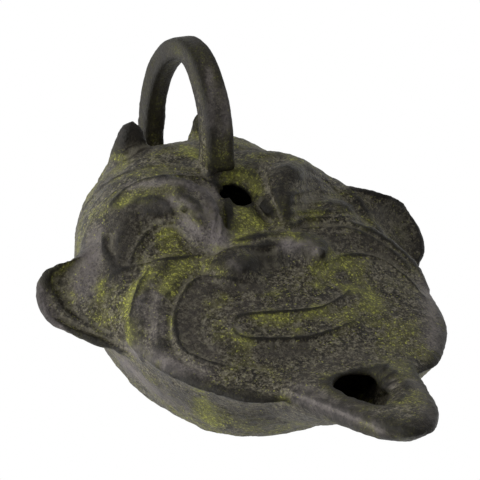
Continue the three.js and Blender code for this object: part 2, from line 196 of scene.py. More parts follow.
# Where its cross sections get closer together and over what length, where its end rounds off, and how
# much it thins there.
NOZZLE_CLOSER = -72
NOZZLE_CLOSER_LENGTH = 7.4
NOZZLE_ROUNDED = -70
NOZZLE_THINNING = 0.8
NOZZLE_LEAST_WIDTH = 0.1

# Filling hole in the forehead and wick hole in the nozzle.
FILL_CENTRE = (1.8, 6.2)
FILL_RADII = [(36, 3), (44.6, 3), (47.4, 4.6), (51, 5.4)]
FILL_STRETCH = 1.08
# The wick hole's inner edge and its wider rim, seen from above.
WICK_EDGE = [
    (-6.4, -54), (-5, -50.2), (-1.6, -48.4), (2.8, -48.6), (5.2, -51.8), (4.2, -56.8), (0.8, -61.8),
    (-3.4, -65), (-5.5, -60.6),
]
WICK_RIM = [
    (-6.8, -54), (-5, -50), (-1.4, -48.2), (3.8, -48.6), (7.8, -51.8), (8.4, -58), (5, -64),
    (-1.4, -67.6), (-5.6, -61.6),
]
WICK_LEVELS = [(16, 0), (21.6, 0), (24.2, 1), (30, 1.3)]
CHANNEL_LINE = [(0, -34, 15.5), (0, -46, 17.8), (0, -59.5, 19.3)]
CHANNEL_HALF = [(11, 6.5), (8.4, 4.9), (6, 2.6)]
CHANNEL_SQUARENESS = 2.4

# Sculpting strokes, placed by the pixels of the 480 by 480 photograph in which they are seen. Each has
# its points, its half widths and heights in millimetres, spread evenly along it, and how flat-topped
# it is where that isn't ROUND.
ROUND = 2
MASSES = [
    # right brow: the sheet between its inner edge and the lid
    ([(284, 180), (300, 186), (318, 188), (334, 196)], 3.4, [0.6, 1.2, 1.2, 0.5]),
    # front of the right wing of the nose
    ([(298, 258), (310, 256)], 3, [1, 0.6]),
    # lower tip and face of the left brow
    ([(190, 222), (204, 236), (213, 246)], [3.2, 2.8, 2.2], [0.8, 1, 1]),
    # left temple
    ([(98, 215), (90, 240), (88, 268), (86, 292)], [3.6, 4, 4, 3.4], [0.6, 1, 1, 0.5]),
    # hollow of the left ear between the temple and the rim
    ([(66, 280), (72, 300), (96, 318)], 3, [-0.4, -0.6, -0.4]),
    # hollow of the left socket beside the temple
    ([(122, 222), (124, 245), (118, 270)], [3, 3.2, 2.6], [-1, -1.6, -0.9]),
    ([(136, 214), (156, 214)], 2.4, -0.8),
    # left cheek
    ([(110, 300), (118, 330), (130, 350)], 5, [0.6, 0.8, 0.4]),
    # left brow: its band and its knob, and the wall of the socket under it
    ([(130, 186), (150, 183), (175, 183), (198, 190), (212, 206), (215, 226)], 2.6,
     [0.4, 0.7, 0.8, 1, 1, 0.8], 2.4),
    ([(200, 190), (211, 204), (214, 224)], 2.6, [0.8, 1.1, 0.8], 2.4),
    ([(118, 214), (122, 240), (120, 262)], 4.4, -0.8),
    ([(150, 206), (166, 214), (172, 226)], 2.2, [-0.6, -0.8, -0.6]),
    # right cheek under the eye
    ([(318, 230), (345, 229), (372, 240), (394, 258)], 2.4, [0.7, 0.9, 0.9, 0.5]),
    # muzzle
    ([(196, 300), (188, 325), (200, 350)], 3.4, [0.6, 0.8, 0.6]),
    # worn slope into the wick hole on its right
    ([(382, 370), (388, 382), (380, 394)], 2.2, [-0.8, -1.2, -0.8]),
    ([(330, 282), (365, 284), (390, 305)], 3.4, [0.4, 0.6, 0.5]),
]
CREASES = [
    # forehead
    ([(82, 210), (100, 190), (130, 172), (165, 165), (200, 170)], 0.5,
     [-0.3, -0.45, -0.4, -0.3, -0.1], 1.6),
    ([(102, 205), (115, 193), (130, 182)], 0.45, [-0.15, -0.35, -0.2], 1.6),
    ([(236, 151), (250, 149), (268, 152)], 0.45, [0.2, 0.35, 0.1], 1.6),
    # left eye: upper lid, lower lid and the crease that runs down the cheek
    ([(131, 263), (134, 252), (141, 241), (150, 231), (163, 224), (177, 223)], 0.55,
     [-0.4, -0.5, -0.5, -0.5, -0.4, -0.2], 1.6),
    ([(143, 262), (147, 248), (156, 239), (168, 234)], 0.5, [0.2, 0.3, 0.3, 0.2]),
    ([(106, 281), (119, 272), (134, 267), (150, 263), (166, 260), (188, 258), (205, 255)], 0.6,
     [-0.3, -0.5, -0.5, -0.5, -0.6, -0.5, -0.3], 1.6),
    ([(150, 268), (141, 283), (134, 302), (130, 324)], 0.6, [-0.2, -0.6, -0.6, -0.2], 1.6),
    ([(180, 262), (163, 280), (152, 302), (150, 340)], 1.2, [0.3, 0.5, 0.5, 0.2]),
    # edge of the muzzle, from under the nose round its left side, with the thin rim outside it
    ([(256, 283), (234, 279), (216, 277), (198, 279), (186, 289), (177, 305), (174, 322), (178, 340),
      (186, 352), (202, 360), (222, 366), (250, 371)], 0.45,
     [-0.1, -0.3, -0.4, -0.5, -0.6, -0.6, -0.6, -0.6, -0.6, -0.5, -0.4, -0.1], 1.8),
    ([(190, 276), (179, 296), (171, 318), (170, 336), (176, 352), (190, 364), (212, 372)], 0.6,
     [0.2, 0.4, 0.5, 0.5, 0.4, 0.4, 0.2]),
    # fold outside the muzzle on the left, from the wing of the nose down to the cheek
    ([(214, 262), (196, 268), (176, 284), (162, 306), (158, 332), (164, 352)], 0.7,
     [-0.1, -0.25, -0.25, -0.25, -0.25, -0.1], 1.8),
    # folds round the corner of the mouth
    ([(262, 298), (240, 301), (216, 306), (204, 318), (204, 336), (214, 350), (238, 358)], 0.6,
     [0.1, 0.25, 0.3, 0.25, 0.25, 0.25, 0.1]),
    # right eye: upper lid, the lid's edge and the line under it
    ([(287, 203), (290, 196), (297, 193), (306, 191), (318, 190), (332, 193)], 0.6,
     [-0.4, -0.5, -0.45, -0.35, -0.3, -0.1], 1.6),
    ([(293, 207), (303, 207), (318, 205), (338, 207)], 0.9, [0.2, 0.3, 0.3, 0.2]),
    ([(286, 213), (300, 213), (318, 212), (342, 210)], 0.5, [-0.2, -0.35, -0.35, -0.2], 1.6),
    # crest of the right cheek and the crease above it
    ([(292, 231), (308, 224), (332, 223), (352, 224), (375, 235), (400, 252), (420, 274)], 0.7,
     [0.4, 0.7, 0.8, 0.8, 0.7, 0.5, 0.3]),
    ([(292, 225), (308, 219), (332, 218), (352, 219), (378, 230)], 0.6,
     [-0.3, -0.45, -0.45, -0.35, -0.1], 1.8),
    # groove between the right cheek and the muzzle
    ([(325, 263), (342, 258), (363, 257), (382, 261), (393, 269), (408, 281), (425, 298)], 0.7,
     [-0.3, -0.7, -0.9, -0.9, -0.9, -0.7, -0.3], 1.6),
    # upper and lower line of the mouth, its corner and the lip between them
    ([(232, 325), (237, 318), (250, 315), (274, 313), (302, 311), (320, 308), (336, 301), (350, 291)], 0.55,
     [-0.3, -0.5, -0.8, -0.8, -0.8, -0.8, -0.6, -0.2], 1.6),
    ([(232, 325), (236, 334), (246, 339), (270, 340), (300, 339), (320, 335), (340, 328), (356, 321)], 0.55,
     [-0.3, -0.7, -0.9, -0.8, -0.8, -0.8, -0.6, -0.2], 1.6),
    ([(242, 327), (270, 326), (300, 323), (332, 315), (352, 306)], 1.6, [0.4, 0.6, 0.6, 0.5, 0.2]),
    ([(246, 307), (275, 304), (305, 301), (332, 292)], 1.6, [0.2, 0.4, 0.4, 0.2]),
    ([(250, 346), (280, 347), (312, 344), (345, 334)], 1.6, [0.2, 0.4, 0.4, 0.2]),
    # nose: its ledge, wings and nostrils
    ([(225, 246), (241, 243), (258, 240), (276, 237), (290, 239)], 0.8, [0.3, 0.5, 0.5, 0.5, 0.3]),
    ([(226, 250), (244, 248), (262, 246), (280, 244)], 0.7, [-0.2, -0.4, -0.5, -0.3], 1.6),
    ([(321, 253)], 0.9, -1.6, 1.8),
    ([(244, 268), (250, 262)], 1, [-0.9, -0.7], 1.8),
    ([(280, 248), (281, 258), (284, 268)], 0.6, [-0.3, -0.4, -0.2], 1.6),
    # pits in the left brow and beside the bridge of the nose
    ([(184, 209)], 0.7, -0.9, 1.8),
    ([(266, 206), (270, 212)], 1.3, [-2.2, -1.8], 1.8),
    # crest of the right brow, down to the ear
    ([(306, 170), (324, 180), (340, 195), (356, 212), (376, 228), (400, 246), (424, 270)], 0.6,
     [0.2, 0.4, 0.45, 0.45, 0.45, 0.4, 0.2]),
    # upper and lower edge of the left brow's band
    ([(112, 204), (126, 190), (146, 180), (170, 177), (196, 178), (212, 184)], 0.6,
     [-0.2, -0.5, -0.5, -0.5, -0.5, -0.3], 1.8),
    ([(128, 206), (146, 198), (164, 202), (174, 214), (184, 228), (198, 242)], 0.9,
     [-0.2, -0.4, -0.6, -0.6, -0.6, -0.3], 1.8),
    # scratches down into the wick hole
    ([(379, 374), (392, 360)], 0.45, [-0.5, -0.2], 1.8),
    ([(382, 381), (399, 369)], 0.45, [-0.6, -0.2], 1.8),
    ([(382, 388), (402, 379)], 0.45, [-0.6, -0.2], 1.8),
    ([(378, 395), (398, 389)], 0.45, [-0.5, -0.2], 1.8),
    # edge between the nozzle's top and its side
    ([(262, 391), (290, 394), (318, 404), (345, 415), (372, 428), (396, 437)], 0.7,
     [0.2, 0.4, 0.5, 0.5, 0.4, 0.2]),
    # inner edges of the brows
    ([(214, 183), (224, 194), (229, 208), (229, 228)], 1, [-0.6, -1, -1, -0.6]),
    ([(200, 180), (212, 190), (219, 203), (220, 220), (217, 236)], 0.7, [0.3, 0.4, 0.4, 0.4, 0.3]),
    ([(261, 158), (263, 175), (268, 190), (275, 207), (281, 222)], 0.7, [0.3, 0.5, 0.5, 0.5, 0.3]),
    # groove inside the rim of the left ear
    ([(47, 272), (50, 288), (64, 311), (88, 326), (112, 338)], [1, 1.1, 1.1, 0.9, 0.7],
     [-0.4, -0.9, -0.9, -0.7, -0.3], 1.8),
    # soft edge between the face and the bowl
    ([(150, 350), (180, 363), (215, 376), (262, 388), (308, 395)], 1.2, [0.1, 0.3, 0.3, 0.3, 0.2]),
]

# Patina and painted light, in strokes like those above, with strengths in place of heights.
PATINA_AND_PAINTED_LIGHT = {}
# yellow-green corrosion
PATINA_AND_PAINTED_LIGHT["green"] = [
    ([(222, 182), (232, 174), (250, 176), (256, 190)], 2, 1),
    ([(240, 208), (250, 215), (258, 226)], 2.2, 0.9),
    ([(236, 226), (246, 240)], 2, 0.8),
    ([(214, 158), (226, 165), (240, 168)], 1.6, 0.7),
    ([(186, 148), (196, 156)], 2.4, 0.8),
    ([(118, 204), (130, 200), (142, 198)], 1.6, 0.8),
    ([(103, 218), (106, 236)], 2, 0.9),
    ([(160, 238), (168, 234)], 1.6, 1),
    ([(180, 203), (186, 212), (200, 226)], 1.4, 0.4),
    ([(204, 244), (218, 248)], 1.2, 0.8),
    ([(96, 280), (104, 292), (120, 284)], 2, 0.6),
    ([(146, 274), (134, 290), (128, 310), (129, 345)], 2, 0.9),
    ([(88, 290), (98, 286), (110, 276)], 1.2, 0.8),
    ([(184, 264), (172, 276), (166, 290)], 1.8, 0.7),
    ([(170, 318), (171, 335)], 1.2, 0.8),
    ([(205, 270), (218, 282)], 2, 0.4),
    ([(262, 292), (290, 296), (318, 288)], 3, 0.6),
    ([(256, 312), (290, 316), (320, 306)], 1.8, 0.7),
    ([(318, 270), (345, 262)], 2, 0.6),
    ([(352, 288), (372, 298), (366, 316)], 3, 0.6),
    ([(236, 330), (250, 342)], 1.4, 0.7),
    ([(300, 330), (330, 336)], 2, 0.4),
    ([(200, 392), (206, 408), (212, 422)], 3, 1),
    ([(146, 352), (156, 364)], 2, 0.5),
    ([(284, 400), (296, 404)], 1.6, 0.7),
    ([(344, 390), (372, 402)], 1, 0.8),
    ([(300, 212), (318, 212)], 1.6, 0.6),
    ([(292, 232), (300, 238)], 1.4, 0.6),
    ([(150, 98), (152, 118)], 2, 0.5),
    ([(176, 48), (190, 54)], 2, 0.4),
    ([(60, 258), (75, 266)], 2, 0.5),
    ([(112, 158), (124, 158)], 1.6, 0.5),
]
# purple-grey worn metal, and painted highlight where the light falls: on the left brow's knob, the left
# temple, the left ear's rim, the wings of the nose, the mouth's corner and the loop's front leg
PATINA_AND_PAINTED_LIGHT["grey"] = [
    # worn metal with painted highlight on the left brow's band and knob
    ([(128, 186), (142, 184), (160, 182), (180, 182), (200, 186), (214, 200), (218, 218), (216, 238)],
     [1.6, 1.8, 2.2, 3, 3.2], [0.4, 0.5, 0.6, 0.8, 1, 1, 1, 1], 2.6),
    # painted highlight on the left temple, which faces the light
    ([(96, 236), (88, 262), (84, 286)], 3.2, [0.6, 1, 0.7], 2.4),
    ([(170, 200), (184, 206), (198, 212), (210, 214)], 2.6, 1),
    ([(186, 222), (198, 232), (212, 242)], 2.4, 0.8),
    # painted highlight along the rim of the left ear
    ([(38, 284), (42, 306), (58, 326), (84, 342), (108, 354)], 1.9, 1),
    ([(132, 350), (160, 362), (200, 374)], 2.6, [0.7, 0.9, 0.5]),
    ([(124, 362), (150, 386), (180, 404)], 4, [0.7, 0.7, 0.4]),
    # painted highlights on the wings of the nose
    ([(232, 262), (240, 268)], 1.6, 0.7),
    ([(288, 244), (302, 242), (314, 250)], 2.4, 1),
    # painted highlight on the lit left face of the loop's front leg
    ([(210, 70), (211, 124)], 1.6, 0.75),
    ([(222, 70), (227, 96), (228, 128)], 2.2, 0.8),
    ([(386, 366), (392, 376), (390, 386)], 1.4, 0.4),
    ([(144, 300), (158, 330)], 3, 0.5),
    ([(428, 290), (436, 320), (436, 345)], 3, 0.6),
    ([(300, 398), (345, 416), (380, 430)], 2.6, 0.8),
    # painted highlight at the left corner of the mouth
    ([(236, 328), (238, 332)], 1.2, 0.8),
    ([(150, 286), (156, 300)], 2, 0.5),
    ([(300, 388), (320, 396)], 2.4, 0.5),
    ([(416, 380), (432, 400), (432, 420)], 2, 0.5),
]
# smooth purple-brown metal with little corrosion
PATINA_AND_PAINTED_LIGHT["plain"] = [
    ([(206, 284), (194, 298), (188, 322), (194, 344), (212, 354)], 3, 1, 2.4),
    ([(214, 284), (240, 288), (262, 288)], 2, 0.9, 2.4),
    ([(262, 352), (284, 352), (304, 350)], 2.4, 0.9, 2.4),
    ([(300, 378), (330, 362), (360, 352)], 3, 0.5, 2.4),
    ([(124, 214), (120, 240), (116, 268)], 3.4, 0.9, 2.4),
    ([(140, 214), (158, 214)], 2.8, 0.7, 2.4),
    ([(286, 166), (306, 180), (326, 186)], 3.4, 0.35, 2.4),
    ([(330, 236), (360, 242), (384, 254)], 3, 0.6, 2.4),
    ([(385, 206), (402, 226), (410, 256)], 5, 0.5, 2.4),
    ([(170, 384), (220, 398), (262, 410), (300, 416)], 6, 0.5, 2.4),
    ([(110, 168), (104, 190)], 3, 0.4, 2.4),
    ([(218, 64), (228, 92), (230, 130)], 2.6, 0.3, 2.4),
    ([(130, 128), (138, 148)], 4, 0.9, 2.4),
    ([(90, 240), (86, 270)], 4, 0.7, 2.4),
    ([(254, 250), (262, 262)], 3, 0.8, 2.4),
    ([(214, 304), (238, 312), (252, 302)], 3, 0.6, 2.4),
    ([(288, 300), (330, 302), (356, 288)], 2.6, 0.4, 2.4),
    ([(160, 296), (156, 320)], 2, 0.5, 2.4),
]
# dark brown metal, and painted shade: in the left eye socket, the hollow of the nose, the ear's groove,
# behind the left brow's knob, and on the horn, the loop and the bowl's side where they face away from the
# light
PATINA_AND_PAINTED_LIGHT["dark"] = [
    ([(246, 262), (262, 262), (276, 258)], 3, 1, 2.4),
    # painted shade in the left eye socket under the brow
    ([(118, 222), (122, 246), (118, 268)], 4, 0.9, 2.4),
    ([(130, 216), (146, 211), (162, 212)], 3, 0.8, 2.4),
    # painted shade in the groove inside the left ear's rim
    ([(46, 276), (50, 292), (66, 309), (90, 324), (112, 338)], 1.2, 0.7),
    ([(206, 288), (196, 312), (200, 340)], 3.4, 0.4),
    ([(136, 238), (146, 226)], 2, 0.5),
    # painted shade on the left horn and on the loop's back leg and top, which face away from the light
    ([(122, 132), (132, 140), (142, 150)], 4.4, 1, 3),
    ([(146, 126), (150, 90), (162, 62)], 3.2, 1, 2.4),
    ([(158, 126), (162, 90), (172, 66)], 2, 1),
    ([(172, 50), (190, 44), (210, 52)], 3, 0.6),
    ([(124, 160), (150, 150)], 2, 0.5),
    # painted shade in the pit beside the nose, and painted shadow behind and beside the left brow's knob
    ([(262, 200), (270, 214)], 2, 1, 2.4),
    ([(202, 175), (218, 180), (229, 192)], 0.9, 0.9, 2.4),
    ([(230, 208), (233, 230)], 1.3, 0.9, 2.4),
    ([(238, 146), (262, 150)], 3, 0.5),
    ([(200, 290), (190, 320), (200, 350)], 3, 0.45),
    # painted shade on the bowl's side under the face
    ([(160, 392), (220, 412), (270, 420)], 5, 0.6),
    ([(252, 160), (256, 180)], 1.6, 0.6),
    ([(200, 286), (232, 286), (262, 288)], 2.2, 0.4),
    ([(336, 238), (366, 244), (386, 256)], 3, 0.4),
    ([(270, 350), (300, 352)], 4, 0.4),
    ([(220, 345), (240, 356)], 4, 0.3),
    ([(400, 206), (410, 240)], 5, 0.3),
]

# Measures of hollows and ridges, by the number of smoothing rounds.
HOLLOWNESS = {"fine_hollow": 5, "broad_hollow": 60}

# Unevenness of the casting: its wave lengths and heights.
WAVES = [(11.0, 0.08), (5.0, 0.05), (2.4, 0.035), (1.3, 0.025)]
WAVES_EACH = 14
CASTING_SEED = 7
# The loop is cast more evenly: how much less, from which height, and over what height that sets in.
LOOP_CALM = 0.7
CALM_FROM = 54
CALM_OVER = 6

# A stroke is broken where its points are further apart than this.
STROKE_GAP = 6.0
# How far a stroke and a carved line reach, in half widths, and how finely they are followed.
STROKE_REACH = 2.6
STROKE_POINTS = 5
LINE_REACH = 3
LINE_POINTS = 40
# Further than anything.
FAR = 1e3


# A smooth value between stations given as (place, value), for an array of places.
def eased(stations):
    place = np.array([s[0] for s in stations], float)
    value = np.array([s[1] for s in stations], float)
    slope = np.empty_like(value)
    slope[1:-1] = (value[2:] - value[:-2]) / (place[2:] - place[:-2])
    slope[0] = (value[1] - value[0]) / (place[1] - place[0])
    slope[-1] = (value[-1] - value[-2]) / (place[-1] - place[-2])

    def at(p):
        p = np.clip(p, place[0], place[-1])
        i = np.clip(np.searchsorted(place, p) - 1, 0, len(place) - 2)
        gap = place[i + 1] - place[i]
        t = (p - place[i]) / gap
        start = (2 * t ** 3 - 3 * t ** 2 + 1) * value[i] + (t ** 3 - 2 * t ** 2 + t) * gap * slope[i]
        end = (3 * t ** 2 - 2 * t ** 3) * value[i + 1] + (t ** 3 - t ** 2) * gap * slope[i + 1]
        return start + end

    return at


# Values read from an evenly spread list, straight between its entries.
def spread(values, share):
    values = np.atleast_1d(np.array(values, float))
    return np.interp(share, np.linspace(0, 1, len(values)), values)


# A smooth line through points, as evenly spaced points.
def round_line(points, count, closed=False):
    p = np.array(points, float)
    if closed:
        p = np.vstack([p[-1], p, p[:2]])
    else:
        p = np.vstack([2 * p[0] - p[1], p, 2 * p[-1] - p[-2]])
    t = np.linspace(0, 1, 24, endpoint=False)[:, None]
    parts = []
    for i in range(1, len(p) - 2):
        a, b, c, d = p[i - 1], p[i], p[i + 1], p[i + 2]
        bend = (2 * a - 5 * b + 4 * c - d) * t ** 2
        twist = (3 * b - a - 3 * c + d) * t ** 3
        parts.append(0.5 * (2 * b + (c - a) * t + bend + twist))
    parts.append(p[-2:-1])
    line = np.vstack(parts)
    length = np.concatenate([[0], np.cumsum(np.linalg.norm(np.diff(line, axis=0), axis=1))])
    steps = np.linspace(0, length[-1], count)
    return np.stack([np.interp(steps, length, line[:, k]) for k in range(line.shape[1])], 1)


def smooth(value):
    t = np.clip(value, 0, 1)
    return t * t * (3 - 2 * t)


# Distance of points from a line seen from above, and the share of the way along it.
def near_line(x, y, line, limit):
    low = line.min(0) - limit
    high = line.max(0) + limit
    close = (x > low[0]) & (x < high[0]) & (y > low[1]) & (y < high[1])
    distance = np.full(x.shape, FAR)
    share = np.zeros(x.shape)
    px = x[close]
    py = y[close]
    nearest = np.full(px.shape, FAR)
    along = np.zeros(px.shape)
    for i in range(len(line) - 1):
        dx, dy = line[i + 1, :2] - line[i, :2]
        t = np.clip(((px - line[i, 0]) * dx + (py - line[i, 1]) * dy) / (dx * dx + dy * dy), 0, 1)
        d = np.hypot(px - line[i, 0] - t * dx, py - line[i, 1] - t * dy)
        better = d < nearest
        nearest[better] = d[better]
        along[better] = (i + t[better]) / (len(line) - 1)
    distance[close] = nearest
    share[close] = along
    return distance, share


rim_height = eased(RIM_HEIGHT)
crest_height = eased(CREST_HEIGHT)
top_flatness = eased(TOP_FLATNESS)
top_fullness = eased(TOP_FULLNESS)

# Distance from the bowl's centre to its outline, for any direction.
whole_outline = OUTLINE + [(-x, y) for x, y in OUTLINE[-2:0:-1]]
outline_line = round_line(whole_outline, 1441, closed=True)
outline_turn = np.unwrap(np.arctan2(outline_line[:, 1] - CENTRE_Y, outline_line[:, 0]))
outline_reach = np.hypot(outline_line[:, 0], outline_line[:, 1] - CENTRE_Y)


def reach(angle):
    turn = np.mod(angle + np.pi / 2, 2 * np.pi)
    return np.interp(turn, outline_turn - outline_turn[0], outline_reach)


# How far a point of the face is raised or sunk.
def relief(x, y):
    across = np.abs(x)
    height = np.zeros_like(x)
    for lines, sideways in ((LINES, across), (RIGHT_LINES, x)):
        for points, width, rise in lines:
            line = round_line(points, LINE_POINTS)
            distance, share = near_line(sideways, y, line, LINE_REACH * max(width))
            height += spread(rise, share) * np.exp(-((distance / spread(width, share)) ** 2))
    for at, radii, rise, turn, power in SWELLINGS:
        angle = math.radians(turn)
        dx = across - at[0]
        dy = y - at[1]
        u = (dx * math.cos(angle) + dy * math.sin(angle)) / radii[0]
        v = (dy * math.cos(angle) - dx * math.sin(angle)) / radii[1]
        height += rise * np.exp(-((u * u + v * v) ** (power / 2)))
    return height


# Points of the bowl's underside or of its top, by direction and by share of the way out.
def bowl_points(angle, share, on_top, side=0, roof=0, floor=0):
    radius = reach(angle) - side
    edge_y = CENTRE_Y + radius * np.sin(angle)
    x = radius * np.cos(angle) * share
    y = CENTRE_Y + radius * np.sin(angle) * share
    rim = rim_height(edge_y)
    if not on_top:
        t = np.clip((share - FLAT_SHARE) / (1 - FLAT_SHARE), 0, 1)
        forward = np.clip((CENTRE_Y - edge_y) / BELLY_FRONT_LENGTH, 0, 1)
        turn = np.arctan2(np.cos(angle), -np.sin(angle))
        corner = np.exp(-(((turn - CORNER_TURN) / CORNER_SPREAD) ** 2))
        power = BELLY_POWER + BELLY_POWER_FRONT * forward - BELLY_CORNER * corner
        z = floor + (rim - floor) * (1 - (1 - t * t) ** power)
        return np.stack([x, y, z], -1)
    carved = relief(x, y)
    if roof > 0:
        carved = np.minimum(carved, 0)
    base = rim * share ** EDGE_POWER + rim_height(y) * (1 - share ** EDGE_POWER)
    arch = np.clip(1 - share ** top_flatness(y), 0, 1) ** top_fullness(y)
    fade = smooth((1 - np.arcsin(np.clip(share, 0, 1)) * 2 / np.pi) * BORDER_FADE)
    z = base + (crest_height(y) - roof - rim_height(y)) * arch + carved * fade
    return np.stack([x, y, z], -1)


# A closed surface from rings of equal count, its two ends closed by a point.
def closed_rings(rings, first, last):
    rings = np.asarray(rings, float)
    count = rings.shape[1]
    points = np.vstack([[first], rings.reshape(-1, 3), [last]])
    here = np.arange(count)
    after = (here + 1) % count
    faces = [np.stack([np.zeros_like(here), 1 + after, 1 + here], 1)]
    for i in range(len(rings) - 1):
        a = 1 + i * count
        b = a + count
        faces.append(np.stack([a + here, a + after, b + after], 1))
        faces.append(np.stack([a + here, b + after, b + here], 1))
    end = 1 + (len(rings) - 1) * count
    faces.append(np.stack([end + here, end + after, np.full_like(here, len(points) - 1)], 1))
    return points, np.vstack(faces)


# The bowl with the face on it, or the hollow inside it when walls are given.
def bowl(sides, steps, side=0, roof=0, floor=0):
    angle = np.linspace(0, 2 * np.pi, sides, endpoint=False)
    turns = np.linspace(0, np.pi / 2, steps + 1)
    rings = [bowl_points(angle, math.sin(t), False, side, roof, floor) for t in turns[1:]]
    rings += [bowl_points(angle, math.sin(t), True, side, roof, floor) for t in turns[::-1][1:-1]]
    centre = np.zeros(1)
    bottom = bowl_points(centre, 0.0, False, side, roof, floor)[0]
    top = bowl_points(centre, 0.0, True, side, roof, floor)[0]
    return closed_rings(rings, bottom, top)


# A bar of rounded-square section along a line, its halves given evenly along it.
def bar(line, halves, squareness, sides=40, count=90, level=(1.0, 0, 0)):
    points = round_line(line, count)
    halves = np.array([np.broadcast_to(half, 2) for half in halves], float)
    ahead = np.gradient(points, axis=0)
    ahead /= np.linalg.norm(ahead, axis=1, keepdims=True)
    angle = np.linspace(0, 2 * np.pi, sides, endpoint=False)
    c = np.cos(angle)
    s = np.sin(angle)
    grow = (np.abs(c) ** squareness + np.abs(s) ** squareness) ** (-1 / squareness)
    rings = []
    for i, (point, along) in enumerate(zip(points, ahead)):
        wide = np.array(level) - along * np.dot(along, level)
        wide /= np.linalg.norm(wide)
        deep = np.cross(along, wide)
        half_wide = spread(halves[:, 0], i / (count - 1))
        half_deep = spread(halves[:, 1], i / (count - 1))
        ring = point + half_wide * (grow * c)[:, None] * wide + half_deep * (grow * s)[:, None] * deep
        rings.append(ring)
    return closed_rings(rings, points[0], points[-1])


# A ball with three radii, turned about the vertical.
def ball(centre, radii, turn, sides=48):
    angle = np.linspace(0, 2 * np.pi, sides, endpoint=False)
    rise = np.linspace(-np.pi / 2, np.pi / 2, sides // 2 + 1)[1:-1]
    rings = [np.stack([np.cos(v) * np.cos(angle), np.cos(v) * np.sin(angle),
                       np.full(sides, math.sin(v))], 1) for v in rise]
    c = math.cos(math.radians(turn))
    s = math.sin(math.radians(turn))
    rotate = np.array([[c, s, 0], [-s, c, 0], [0, 0, 1]])
    rings = [np.array(centre) + (ring * radii) @ rotate for ring in rings]
    return closed_rings(rings, np.array(centre) - (0, 0, radii[2]), np.array(centre) + (0, 0, radii[2]))


# A hole straight down, with its radius given as (z, radius).
def well(centre, radii, stretch, sides=64):
    angle = np.linspace(0, 2 * np.pi, sides, endpoint=False)
    rings = []
    for z, radius in radii:
        x = centre[0] + radius * np.cos(angle)
        y = centre[1] + radius * stretch * np.sin(angle)
        rings.append(np.stack([x, y, np.full(sides, float(z))], 1))
    bottom = (centre[0], centre[1], radii[0][0])
    top = (centre[0], centre[1], radii[-1][0])
    return closed_rings(rings, bottom, top)


# A hole of free outline, that changes from its inner edge to its rim at the levels given as
# (z, share of the way to the rim).
def mouth_hole(edge, rim, levels, sides=96):
    inner = round_line(edge, sides + 1, closed=True)[:-1]
    outer = round_line(rim, sides + 1, closed=True)[:-1]
    rings = []
    for z, share in levels:
        ring = inner + (outer - inner) * share
        rings.append(np.column_stack([ring, np.full(sides, float(z))]))
    return closed_rings(rings, rings[0].mean(0), rings[-1].mean(0))


# The nozzle, as rings along its length.
def nozzle(sides=64):
    half = eased(NOZZLE_HALF)
    under = eased(NOZZLE_UNDER)
    straight = np.linspace(NOZZLE_ROOT, NOZZLE_CLOSER, 60)
    rounded = NOZZLE_CLOSER - NOZZLE_CLOSER_LENGTH * np.sin(np.linspace(0.05, np.pi / 2, 24))
    angle = np.linspace(0, 2 * np.pi, sides, endpoint=False)
    c = np.cos(angle)
    s = np.sin(angle)
    squareness = np.where(s > 0, NOZZLE_TOP_SQUARENESS, NOZZLE_UNDER_SQUARENESS)
    grow = (np.abs(c) ** squareness + np.abs(s) ** squareness) ** (-1 / squareness)
    rings = []
    for y in np.concatenate([straight, rounded]):
        tip = np.clip((NOZZLE_ROUNDED - y) / (NOZZLE_ROUNDED - NOZZLE_TIP), 0, 1)
        width = max(float(half(y)), NOZZLE_LEAST_WIDTH)
        top = (NOZZLE_TOP - NOZZLE_EDGE) * (1 - NOZZLE_THINNING * tip ** 4)
        low = (NOZZLE_EDGE - under(y)) * (1 - tip ** 3)
        z = NOZZLE_EDGE + np.where(s > 0, top, low) * grow * s
        rings.append(np.stack([width * grow * c, np.full(sides, y), z], 1))
    return closed_rings(rings, (0, NOZZLE_ROOT, NOZZLE_EDGE), (0, NOZZLE_TIP, NOZZLE_EDGE))


# A cupped leaf standing out from the side of the head, with a thick round rim.
def ear(side, along=90, across=40):
    root = round_line(EAR_ROOT, along)
    rim = round_line(EAR_RIM, along)
    rim[:, 2] += EAR_LIFT[side] * smooth(1 - np.linspace(0, 1, along) / EAR_LIFT_END)
    t = np.linspace(0, 1, across)[:, None]
    rings = []
    for i in range(along):
        bend = math.sin(math.pi * i / (along - 1)) ** EAR_CUP_POWER
        width = np.linalg.norm(rim[i] - root[i])
        outward = (rim[i] - root[i]) / max(width, 0.01)
        sag = EAR_CUP * bend * np.sin(np.pi * t ** EAR_SAG_POWER)
        half = EAR_SHEET / 2 + (EAR_RIM_RADIUS - EAR_SHEET / 2) * t
        middle = root[i] + (width - EAR_RIM_RADIUS) * t * outward + EAR_BACK * sag
        front = middle - EAR_BACK * (half + EAR_FILL * bend * (1 - t) ** 2)
        rear = middle + EAR_BACK * half
        turn = np.linspace(0, np.pi, 9)[1:-1, None]
        end = root[i] + (width - EAR_RIM_RADIUS) * outward
        edge = end + EAR_RIM_RADIUS * (np.sin(turn) * outward - np.cos(turn) * EAR_BACK)
        ring = np.vstack([front, edge, rear[::-1]])
        ring[:, 0] *= side
        rings.append(ring)
    return closed_rings(rings, rings[0].mean(0), rings[-1].mean(0))


# A surface mirrored to the left side.
def mirrored(surface):
    points, faces = surface
    return points * (-1, 1, 1), faces[:, ::-1]


# A surface of the face, higher on one side as the casting is.
def rolled(surface):
    points, faces = surface
    return points + points[:, :1] * (0, 0, FACE_ROLL), faces


